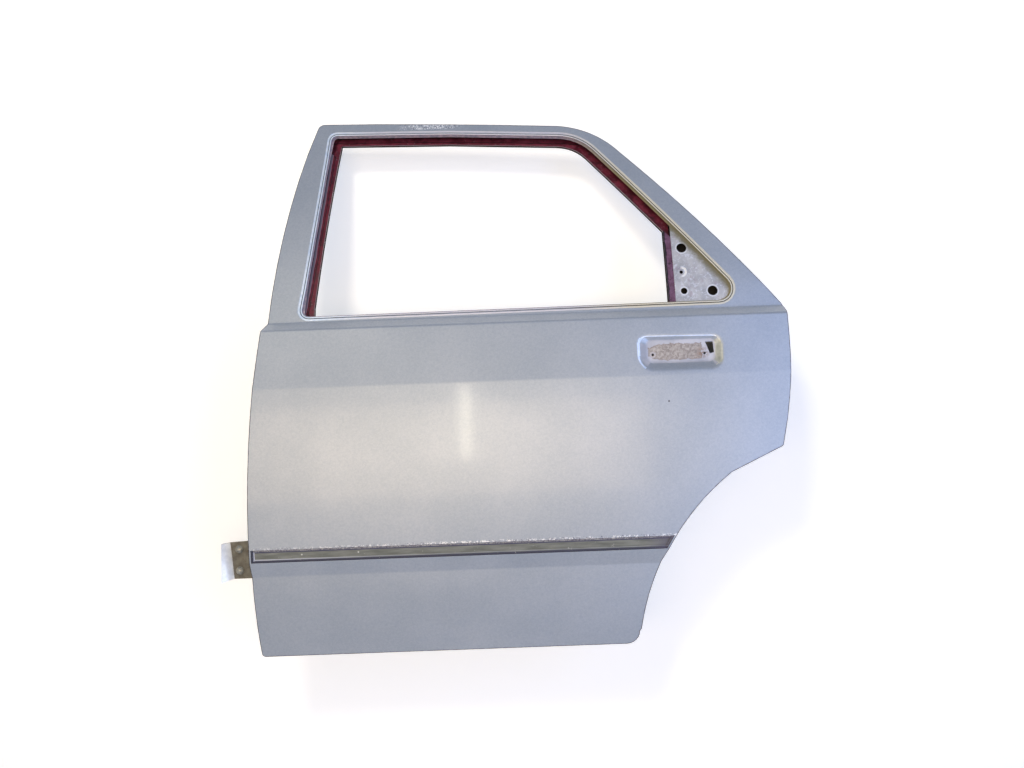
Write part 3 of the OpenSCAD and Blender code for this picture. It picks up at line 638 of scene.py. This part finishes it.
def dish_floor_paint():
    """Silver paint on the dish's floor, with the print that the handle's gasket left: chalky, torn
    and edged with reddish brown, and a little rust beside the rear screw."""
    m, place = new_material("gasket_print_on_silver_paint")
    x, _, z = axes(m, place)
    ragged = spread(m, noise(m, place, 9, 5, 0.5), 0.2, 0.8, -0.003, 0.003)
    half_high = spread(m, x, x_at(792), x_at(812), 0.008, 0.0155)
    up = maths(m, "ABSOLUTE", maths(m, "SUBTRACT", z, z_at(576)))
    up = maths(m, "SUBTRACT", maths(m, "ADD", up, ragged), half_high)
    along = maths(m, "ABSOLUTE", maths(m, "SUBTRACT", x, x_at(842.5)))
    along = maths(m, "SUBTRACT", maths(m, "ADD", along, ragged), 0.0515)
    away = maths(m, "MAXIMUM", up, along)
    inside = spread(m, away, 0.0004, -0.0006)
    rim = band(m, away, -0.0006, 0.0012, 0.0008)
    speckle = noise(m, place, 5, 5, 0.6)
    tone = shades(m, noise(m, place, 30, 3), "A9ABB2", "C2C2C6")
    chalk = shades(m, speckle, "8F867F", "B9B1A8", 0.36, 0.66)
    tone = mixed(m, inside, tone, chalk)
    brown = times(m, rim, spread(m, noise(m, place, 5, 4, 1.0), 0.44, 0.58, 0.0, 0.6))
    tone = over(m, tone, brown, "7C6B64")
    tone = over(m, tone, ring(m, x, z, (799, 570.7), 4.4, 1.8), "B5B0B0")
    rust_x = band(m, x, x_at(896), 0.011, 0.006)
    rust_z = band(m, z, z_at(572), 0.009, 0.006)
    rust = times(m, times(m, rust_x, rust_z), spread(m, speckle, 0.45, 0.55, 0.0, 0.7))
    tone = over(m, tone, rust, "86664F")
    return coated(m, tone, 0.5, 0.2, bumps=(speckle, 0.3, 0.5))


def dish_painted_light(name, dark, light):
    """Silver paint in the dish, lightened for the light on it: a painted highlight on the top and front
    rim, and a painted warm reflection on the rear wall."""
    m, place = new_material(name)
    tone = shades(m, noise(m, place, 12, 4), dark, light)
    return coated(m, tone, 0.38, 0.3)


def rebate_bead_highlight():
    """Silver paint on the beads of the window's rebate, lightened as a painted highlight: a cold bright
    silver in front, yellower towards the rear corner."""
    m, place = new_material("silver_beads_painted_highlight")
    x = axes(m, place)[0]
    tone = shades(m, noise(m, place, 10, 4), "CBDAE8", "E2EAF0")
    top = spread(m, x, x_at(150), x_at(260))
    tone = over(m, tone, times(m, top, 0.75), "CBC5C8")
    rear = spread(m, x, x_at(640), x_at(780))
    tone = over(m, tone, times(m, rear, 0.8), "DDD5BA")
    return coated(m, tone, 0.3, 0.3)


def groove_grime_and_shade():
    """Grime and painted shade in the rebate's groove: a grey brown film, olive and nearly black at the
    rear.
    """
    m, place = new_material("seal_grime_and_painted_shade_in_groove")
    x = axes(m, place)[0]
    tone = shades(m, noise(m, place, 8, 5), "66727F", "8792A0")
    rear = spread(m, x, x_at(560), x_at(720))
    tone = over(m, tone, rear, "4A4427")
    return coated(m, tone, 0.55, 0.2)


def lip_residue_and_shade():
    """Rubber and sealer residues on the rebate's wall and lip: grey pink in front, where the first colour
    shows through, and khaki at the rear corner, partly grime and partly painted shade on the deep wall
    beside the corner panel."""
    m, place = new_material("seal_residue_and_painted_shade_on_lip")
    x = axes(m, place)[0]
    tone = shades(m, noise(m, place, 7, 5), "8F8A94", "BDA6AD")
    rear = spread(m, x, x_at(640), x_at(760))
    tone = over(m, tone, rear, "8A8263")
    return coated(m, tone, 0.5)


def dark_edge_tone():
    """A dark, patchy tone on the round of the folded edge."""
    m, place = new_material("dark_patchy_tone_on_edge")
    kept = spread(m, noise(m, place, 14, 5, 1.0), 0.52, 0.6)
    tone = mixed(m, kept, paint_hex("2B2628"), paint_hex("77797F"))
    return coated(m, tone, 0.5, 0.2)


def wax_and_cavity_shade():
    """Brown waxy cavity coating over primer on the faces that look into the door, made nearly black as
    painted shade for the dark inside of the door: soft and a little glossy, thicker where it ran."""
    m, place = new_material("cavity_wax_as_painted_shade")
    run = noise(m, place, 30, 4, 1.0)
    tone = shades(m, run, "151210", "2B2520")
    return coated(m, tone, spread(m, run, 0.3, 0.7, 0.4, 0.6))


def inner_silver():
    """Silver paint on the inner pressings: the same respray, thinner and duller, with dust that
    dries it out in broad clouds and small rust-brown spots where it was never polished."""
    m, place = new_material("thin_silver_paint")
    cloud = noise(m, place, 90, 4)
    tone = shades(m, cloud, "959A9F", "ABAFB3")
    dust = spread(m, noise(m, place, 22, 5), 0.5, 0.68, 0.0, 0.55)
    tone = over(m, tone, dust, "B5B0A4")
    spot = spread(m, noise(m, place, 6, 4), 0.7, 0.74, 0.0, 0.7)
    tone = over(m, tone, spot, "6F5240")
    roughness = spread(m, dust, 0, 0.55, 0.42, 0.62)
    return coated(m, tone, roughness, 0.35, bumps=(noise(m, place, 3, 3), 0.2, 0.4))


def burgundy_paint(name, dark, light, line=None, marks=(), wave_mm=0.6, spot=None):
    """The first colour, left bare round the glass: dark red enamel, rubbed dull by the seals, with black
    rubber residues and grey dust lying in it. The marks are stripes along a line: each one's middle and
    half width in millimetres from the line, and its colour; the grey and pink ones are seal left-overs, the
    near-black ones in the front and header channels are painted shade where the channel's groove and lips
    lie, and the one on the division channel is its torn rubber edge. The spot is black painted shade where
    a channel's open end lies: its place in door coordinates."""
    m, place = new_material(name)
    wear = noise(m, place, 16, 5, 0.6)
    tone = shades(m, wear, dark, light, 0.38, 0.62)
    rubber = spread(m, noise(m, place, 9, 5, 1.0), 0.57, 0.63, 0.0, 0.6)
    tone = over(m, tone, rubber, "1E1516")
    dust = spread(m, noise(m, place, 4, 3), 0.6, 0.75, 0.0, 0.4)
    tone = over(m, tone, dust, "8D7A80")
    if line:
        wavy = spread(m, noise(m, place, 25, 4), 0.3, 0.7, -wave_mm / 1000, wave_mm / 1000)
        away = maths(m, "ADD", line(m, axes(m, place)), wavy)
        for middle, half, colour in marks:
            tone = over(m, tone, band(m, away, middle / 1000, half / 1000, 0.0004), colour)
    # Painted shade: a black spot where a channel's open end lies
    if spot:
        x, _, z = axes(m, place)
        tone = over(m, tone, ring(m, x, z, spot, 0, 5), "0B0909")
    return coated(m, tone, spread(m, wear, 0.35, 0.65, 0.3, 0.5), bumps=(wear, 0.2, 0.5))


def from_front_line(m, place):
    """How far behind the rebate's front line a place lies, in metres."""
    low, top = z_at(663), z_at(1077)
    up = spread(m, place[2], low, top)
    bulge = times(m, times(m, up, up), -0.016)
    line = maths(m, "ADD", times(m, up, 0.067), bulge)
    return maths(m, "SUBTRACT", maths(m, "SUBTRACT", place[0], x_at(99)), line)


def from_roof_line(m, place):
    """How far below the rebate's upper line a place lies, in metres."""
    along = maths(m, "SUBTRACT", place[0], x_at(150))
    fall = times(m, times(m, along, along), 0.0637)
    fall = maths(m, "ADD", times(m, along, 0.00875), fall)
    return maths(m, "SUBTRACT", maths(m, "SUBTRACT", z_at(1077), place[2]), fall)


def from_division_front(m, place):
    """How far behind the division channel's front edge a place lies, in metres."""
    return maths(m, "SUBTRACT", place[0], x_at(841))


def zinc_steel():
    """Zinc-plated steel of the plates inside: soft grey with the cloudy bloom of old plating."""
    m, place = new_material("zinc_plated_steel")
    bloom = noise(m, place, 14, 4)
    tone = shades(m, bloom, "7F8283", "A6A9A7")
    rust = spread(m, noise(m, place, 8, 5), 0.62, 0.7, 0.0, 0.6)
    tone = over(m, tone, rust, "6B4A35")
    return coated(m, tone, spread(m, bloom, 0.3, 0.7, 0.38, 0.55), 0.7)


def hinge_steel():
    """Forged hinge steel with thin overspray over old grease: an olive-brown grey, dull and dirty."""
    m, place = new_material("oversprayed_hinge_steel")
    grime = noise(m, place, 12, 5)
    tone = shades(m, grime, "5F5B51", "7B776B")
    rust = spread(m, noise(m, place, 5, 5), 0.6, 0.7, 0.0, 0.7)
    tone = over(m, tone, rust, "5E4A3A")
    return coated(m, tone, 0.5, 0.45, bumps=(noise(m, place, 2.5, 4), 0.3, 0.5))


def flange_zinc_and_reflection():
    """Bare zinc on the hinge's folded end, wiped clean of paint and grease, lightened nearly to white as a
    painted reflection of the light it faces.
    """
    m, place = new_material("zinc_plate_painted_reflection")
    wipe = noise(m, place, 12, 4)
    tone = shades(m, wipe, "E2DFD2", "F7F4E8")
    return coated(m, tone, spread(m, wipe, 0.3, 0.7, 0.28, 0.4), 0.35)


def bolt_steel():
    """Bolt steel with the same overspray, rubbed brighter on the domes."""
    m, place = new_material("oversprayed_bolt_steel")
    grime = noise(m, place, 5, 4)
    tone = shades(m, grime, "8E8C82", "B4B3A8", 0.4, 0.6)
    return coated(m, tone, spread(m, grime, 0.3, 0.7, 0.3, 0.45), 0.5)


def bitumen():
    """Black damping sheet melted on to the skin: matt tar with a fine pebbled face."""
    m, place = new_material("bitumen_damping_sheet")
    grain = add(m, "TexVoronoi", {"Vector": place, "Scale": 1000 / 3.5}).outputs["Distance"]
    tone = shades(m, noise(m, place, 30, 4), "202022", "3A3835", 0.4, 0.7)
    return coated(m, tone, 0.85, bumps=(grain, 0.6, 0.8))


def dress(piece, material):
    """Gives a piece or a CAD node its only material."""
    piece.data.materials.clear()
    piece.data.materials.append(material)


def dress_faces(piece, material, wanted):
    """Gives some faces of a piece another material; wanted gets the face's middle in door
    coordinates, and how far it lies behind the skin's own line, in millimetres."""
    piece.data.materials.append(material)
    number = len(piece.data.materials) - 1
    line = side_profile()
    for face in piece.data.polygons:
        x, y, z = face.center * 1000 - Vector((HINGE_X, HINGE_Y, HINGE_Z))
        if wanted(x, z, y - inboard(z, line), face.normal):
            face.material_index = number


def within(loop):
    """A test for places inside a drawn outline."""
    def test(x, z):
        inside = False
        for (x0, z0), (x1, z1) in zip(loop, loop[1:] + loop[:1]):
            if (z0 > z) != (z1 > z) and x < x0 + (x1 - x0) * (z - z0) / (z1 - z0):
                inside = not inside
        return inside
    return test


# Pieces


silver = silver_paint()
inner = inner_silver()
burgundy = burgundy_paint("burgundy_enamel", "4A1420", "6E2434")
# Front channel: a grey stripe and a pink line of seal left-overs, and a painted shade line along the
# channel's groove
front_red = burgundy_paint("burgundy_enamel_front", "521726", "6E2434", from_front_line,
                           [(8.6, 1.8, "8C8790"), (11.2, 0.7, "C79AA4"), (16.4, 0.8, "1E1014")])
# Header channel: two painted shade lines along the channel's lips, and a painted shade spot at the open
# channel end
roof_red = burgundy_paint("burgundy_enamel_roof", "4F1824", "6E2736", from_roof_line,
                          [(8.4, 1.8, "1C1013"), (20.6, 1.1, "241216")], spot=(170, 1070))
mauve = burgundy_paint("faded_burgundy_enamel", "5E3B4E", "75526A", from_division_front,
                       [(0.5, 2.2, "1B1214")], wave_mm=1.6)
wax_and_shade = wax_and_cavity_shade()
residue_and_shade = lip_residue_and_shade()
zinc = zinc_steel()
hinge = hinge_steel()
bolt = bolt_steel()
tar = bitumen()

skin = folded_skin(silver, dark_edge_tone())
for side in (-1, 1):
    screw_place = at(SCREWS[0] + side * SCREW_HALF, DISH_FLOOR_Y, SCREWS[1])
    bpy.ops.mesh.primitive_cylinder_add(
        vertices=24, radius=0.0025, depth=0.02, location=screw_place, rotation=(math.radians(90), 0, 0))
    cut_out(skin, bpy.context.object)
key = start_piece("key_slot", [[(902, 593), (917, 593), (919, 572), (911, 570)]])
bpy.ops.mesh.select_all(action="SELECT")
bpy.ops.mesh.edge_face_add()
bpy.ops.mesh.extrude_region_move(TRANSFORM_OT_translate={"value": (0, 0.05, 0)})
bpy.ops.mesh.select_all(action="SELECT")
bpy.ops.mesh.normals_make_consistent(inside=False)
bpy.ops.object.mode_set(mode="OBJECT")
cut_out(skin, key)
smooth(skin)
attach(skin, "door")
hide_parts("outer_skin")
in_rebate = within(rebate_outline())
in_dish = within([(766, 613), (938, 613), (938, 536), (766, 536)])


def in_window(x, z, normal):
    """The faces of the stepped rebate that can be seen from outside."""
    return in_rebate(x, z) and normal.y < 0.1


# The skin's other paints: its inner side, the rebate from bead to lip, the strip's seat, the dish; the
# beads and the dish's rim carry painted highlight, the dish's rear wall a painted reflection, and the
# groove and the rebate's rear wall painted shade
dress_faces(skin, inner, lambda x, z, deep, normal: normal.y > 0.3)
# Painted highlight on the rebate's beads
dress_faces(skin, rebate_bead_highlight(), lambda x, z, deep, normal: in_window(x, z, normal))
# Painted shade and grime in the rebate's groove
dress_faces(skin, groove_grime_and_shade(), lambda x, z, deep, normal: in_window(x, z, normal) and 1.1 < deep < 3)
# The rebate's wall and lip: sealer left-overs, khaki with painted shade at the rear corner
dress_faces(skin, residue_and_shade, lambda x, z, deep, normal: in_window(x, z, normal) and deep >= 3)
dress_faces(skin, strip_seat(), lambda x, z, deep, normal: 4.5 < x < 826 and 1 < deep < 6
            and RUB_LOW_H < z < RUB_HIGH_H)
dress_faces(skin, dish_floor_paint(), lambda x, z, deep, normal: 780 < x < 925 and 552 < z < 602
            and deep > 4)
# Painted highlight on the dish's top and front rim
dish_rim_highlight = dish_painted_light("painted_highlight_on_dish_rim", "C6D4E6", "E4ECF5")
dress_faces(skin, dish_rim_highlight, lambda x, z, deep, normal: in_dish(x, z) and max(normal.x, -normal.z) > 0.12
            and deep < 1.3 and normal.y < 0 and (z > 600 or x < 782))
# Painted warm reflection on the dish's rear wall
dish_wall_reflection = dish_painted_light("painted_warm_reflection_on_dish_wall", "A3A596", "C8C8BC")
dress_faces(skin, dish_wall_reflection, lambda x, z, deep, normal: in_dish(x, z) and x > 921 and normal.x < -0.3
            and normal.y < 0.1)
# The CAD nodes: the window's frame, the inner pressings, the hinge, the plates and the bolts
dress(nodes["corner_panel"], corner_paint())
dress(nodes["front_run_channel"], front_red)
dress(nodes["header_run_channel"], roof_red)
dress(nodes["rear_run_channel"], burgundy)
dress(nodes["division_channel"], mauve)
for node in ("front_run_channel", "header_run_channel", "rear_run_channel"):
    dress_faces(nodes[node], residue_and_shade, lambda x, z, deep, normal: deep < 12 and normal.y < 0)
dress(nodes["inner_panel"], inner)
# Faces of the inner pressings that look into the door: the brown coating, darkened as painted shade
dress_faces(nodes["inner_panel"], wax_and_shade, lambda x, z, deep, normal: normal.y < -0.3)
dress(nodes["window_frame_inner"], inner)
dress_faces(nodes["window_frame_inner"], wax_and_shade, lambda x, z, deep, normal: normal.y < 0.3 and in_rebate(x, z))
for material, names in (
    (hinge, ("pillar_leaf", "door_leaf")),
    (inner, ("belt_rail_outer", "belt_rail_inner", "front_glass_guide", "rear_glass_guide")),
    (zinc, ("hinge_plate_upper", "hinge_plate_lower", "latch_plate", "check_strap_plate", "handle_plate",
            "armrest_bracket")),
    (bolt, ("pillar_bolts", "door_leaf_bolts", "hinge_pin")),
    (tar, ("damping_pad",)),
):
    for name in names:
        dress(nodes[name], material)
# Painted reflection: the hinge flange's faces that turn towards the light are nearly white
dress_faces(nodes["pillar_leaf"], flange_zinc_and_reflection(),
            lambda x, z, deep, normal: normal.x > 0.1 and normal.y < -0.3)
# The handle plate's faces that look into the door: the brown coating, darkened as painted shade
dress_faces(nodes["handle_plate"], wax_and_shade, lambda x, z, deep, normal: normal.y < -0.3)

# Stage


def stage_white():
    """Matt white paper. The camera sees it lifted to white, and from behind it is clear."""
    m, _ = new_material("white_paper")
    paper = add(m, "BsdfDiffuse", {"Color": (0.9, 0.875, 0.82, 1)})
    lift = add(m, "Emission", {"Color": (1, 1, 1, 1), "Strength": 0.31})
    lifted = add(m, "AddShader", {0: paper.outputs[0], 1: lift.outputs[0]})
    clear = add(m, "BsdfTransparent", {})
    path = add(m, "LightPath", {})
    behind = add(m, "NewGeometry", {}).outputs["Backfacing"]
    seen = maths(m, "MAXIMUM", path.outputs["Is Camera Ray"], path.outputs["Is Glossy Ray"])
    seen = times(m, seen, maths(m, "SUBTRACT", 1.0, behind))
    surface(m, add(m, "MixShader", {0: seen, 1: clear.outputs[0], 2: lifted.outputs[0]}))
    return m


def floor_white():
    """Pale floor, which keeps the shadow."""
    m, _ = new_material("pale_floor")
    paper = add(m, "BsdfDiffuse", {"Color": (0.75, 0.75, 0.76, 1)})
    lift = add(m, "Emission", {"Color": (1, 1, 1, 1), "Strength": 0.45})
    lifted = add(m, "AddShader", {0: paper.outputs[0], 1: lift.outputs[0]})
    path = add(m, "LightPath", {})
    seen = path.outputs["Is Camera Ray"]
    surface(m, add(m, "MixShader", {0: seen, 1: paper.outputs[0], 2: lifted.outputs[0]}))
    return m


# The wall stands clear of the door's inner side, and the floor lies out of the picture
DOOR_MIDDLE_X = 0.56
WALL_Y = 0.165
FLOOR_Z = -1.35
bpy.ops.object.select_all(action="DESELECT")
bpy.ops.mesh.primitive_plane_add(
    size=9, location=(DOOR_MIDDLE_X, WALL_Y, 0.3), rotation=(math.radians(90), 0, 0))
wall = bpy.context.object
wall.name = "paper_wall"
dress(wall, stage_white())
bpy.ops.mesh.primitive_plane_add(size=16, location=(DOOR_MIDDLE_X, 0, FLOOR_Z))
floor = bpy.context.object
floor.name = "pale_floor"
dress(floor, floor_white())


def lamp(name, place, aim, width, height, watts, colour):
    """An area lamp that looks at a point, with its width and height in metres."""
    data = bpy.data.lights.new(name, "AREA")
    data.shape = "RECTANGLE"
    data.size = width
    data.size_y = height
    data.energy = watts
    data.color = paint_hex(colour)[:3]
    holder = bpy.data.objects.new(name, data)
    holder.location = place
    holder.rotation_euler = (Vector(aim) - Vector(place)).to_track_quat("-Z", "Y").to_euler()
    bpy.context.scene.collection.objects.link(holder)
    return holder


lamp("window_lamp", (0.2, -2.6, 0.06), (0.45, 0, 0.16), 2.2, 0.75, 22, "FFE4C0")
lamp("frame_lamp", (-0.6, -2.4, 1.7), (0.2, 0, 0.5), 1.0, 1.0, 5, "FFF3DC")
shadow_lamp = lamp("shadow_lamp", (-0.2, -2.3, 2.2), (0.5, 0, 0.3), 0.5, 0.5, 29, "FFF8EE")
# It gives the soft shadow, and would be a glare spot in the leaning frame
shadow_lamp.visible_glossy = False
lamp("cool_lamp", (2.4, -2.2, 0.0), (0.8, 0, 0.1), 1.6, 4.0, 37, "8CB2FF")
# Two thin lamps that only glint: a streak on the crown, and a line on the dish's rim
streak_lamp = lamp("streak_lamp", (0.29, -3.0, 0.28), (0.47, 0, 0.27), 0.05, 0.65, 3.4, "FFF4DA")
streak_lamp.visible_diffuse = False
rim_lamp = lamp("rim_lamp", (2.3, -1.6, -0.5), (0.85, 0, 0.35), 0.2, 0.5, 9, "D6E4FF")
rim_lamp.visible_diffuse = False
lamp("back_lamp", (0.5, 2.6, 1.6), (0.5, 0, 0.2), 2.0, 2.0, 45, "FFFFFF")

world = bpy.data.worlds.new("studio")
world.use_nodes = True
world.node_tree.nodes.clear()
# A pale room: bright at the height of the door, dimmer and bluer overhead and below
towards = add(world, "TexCoord", {}).outputs["Generated"]
rise = maths(world, "ABSOLUTE", axes(world, towards)[2])
room = mixed(world, spread(world, rise, 0.05, 0.75), paint_hex("F4F4F0"), paint_hex("8296BA"))
pale = add(world, "Background", {"Color": room, "Strength": 0.66})
white = add(world, "Background", {"Color": (1, 1, 1, 1), "Strength": 1.0})
path = add(world, "LightPath", {})
seen = add(world, "MixShader", {0: path.outputs["Is Camera Ray"], 1: pale.outputs[0], 2: white.outputs[0]})
add(world, "OutputWorld", {"Surface": seen.outputs[0]})
bpy.context.scene.world = world

# Camera: level with the middle of the side, turned a little as in the photograph
lens = bpy.data.cameras.new("camera")
lens.sensor_width = 36
lens.lens = 26.97
lens.clip_start = 0.05
camera = bpy.data.objects.new("camera", lens)
camera.location = (0.564, -1.559, 0.336)
camera.rotation_euler = (math.radians(90), math.radians(2.1), 0)
bpy.context.scene.collection.objects.link(camera)
bpy.context.scene.camera = camera
bpy.context.scene.view_settings.view_transform = "Standard"
